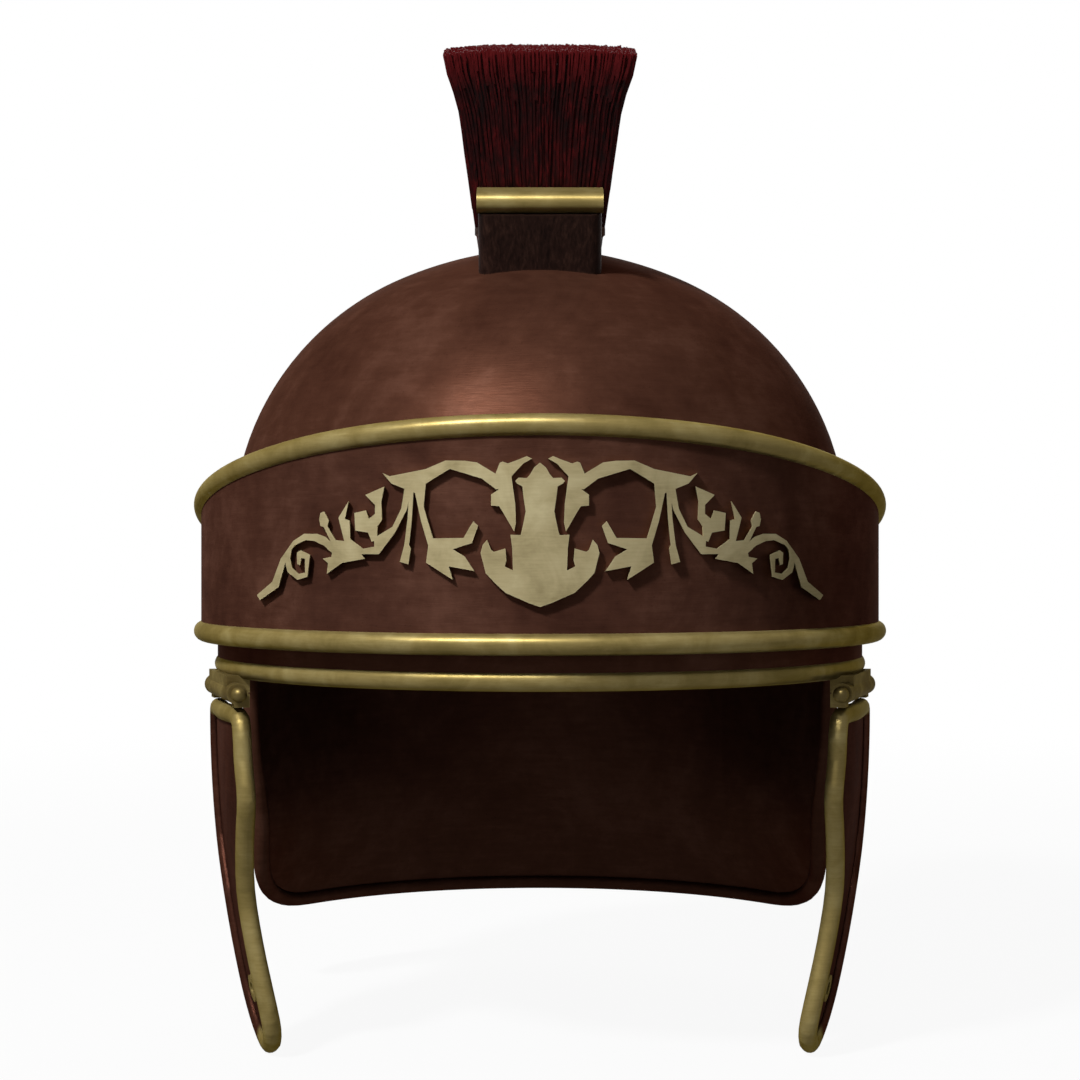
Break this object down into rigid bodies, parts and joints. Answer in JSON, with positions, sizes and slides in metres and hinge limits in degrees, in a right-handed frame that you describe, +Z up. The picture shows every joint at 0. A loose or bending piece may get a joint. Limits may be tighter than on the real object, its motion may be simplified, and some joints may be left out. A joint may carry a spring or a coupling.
{
  "type": "roman general helmet",
  "caption": "Parade helmet of a Roman general: bronze bowl with a nape guard, raised brow band with applied scrolls, red brush crest and hinged cheek guards.",
  "frame": {"origin": "seat of the crown of the head, where it touches the lining", "axes": "+Z up, the face looks along -Y, the wearer's left is +X"},
  "size_m": [0.2224, 0.2545, 0.3148],
  "materials": {
    "bronze_sheet": "brown patinated bronze sheet, finely brushed, mottled",
    "brass_trim": "pale brass, polished and slightly brushed",
    "red_horsehair": "dense dyed horsehair, dark red",
    "dark_wood": "dark brown stained wood, satin",
    "wool_felt": "thick grey-brown wool felt",
    "lining_leather": "dark brown leather, worn smooth"
  },
  "bodies": {
    "helmet": {"skull_bowl": "bronze_sheet", "nape_roll": "bronze_sheet", "rim_roll": "brass_trim", "brow_band": "bronze_sheet", "band_top_roll": "brass_trim", "band_bottom_roll": "brass_trim", "band_brackets": "brass_trim", "bracket_rivets": "brass_trim", "centre_emblem": "brass_trim", "scroll_left": "brass_trim", "scroll_right": "brass_trim", "ornament_pins": "brass_trim", "crest_rail": "dark_wood", "crest_plume": "red_horsehair", "crest_front_block": "dark_wood", "crest_front_bar": "brass_trim", "crest_rear_block": "dark_wood", "crest_rear_bar": "brass_trim", "crest_studs": "brass_trim", "felt_padding": "wool_felt", "leather_lining": "lining_leather", "sweatband": "lining_leather", "liner_rivets": "brass_trim", "hinge_barrel_left": "brass_trim", "hinge_barrel_right": "brass_trim", "hinge_pin_left": "brass_trim", "hinge_pin_right": "brass_trim"},
    "cheek_left": {"cheek_plate_left": "bronze_sheet", "cheek_roll_left": "brass_trim", "cheek_knuckles_left": "brass_trim", "cheek_pad_left": "lining_leather", "tie_eyelet_left": "brass_trim"},
    "cheek_right": {"cheek_plate_right": "bronze_sheet", "cheek_roll_right": "brass_trim", "cheek_knuckles_right": "brass_trim", "cheek_pad_right": "lining_leather", "tie_eyelet_right": "brass_trim"}
  },
  "joints": [
    {"name": "cheek_left_hinge", "type": "hinge", "parent": "helmet", "child": "cheek_left", "pos_m": [0.0973, -0.0372, -0.1283], "axis": [-0.2605, -0.9655, 0], "range_deg": [-10, 100]},
    {"name": "cheek_right_hinge", "type": "hinge", "parent": "helmet", "child": "cheek_right", "pos_m": [-0.0973, -0.0372, -0.1283], "axis": [-0.2605, 0.9655, 0], "range_deg": [-10, 100]}
  ]
}
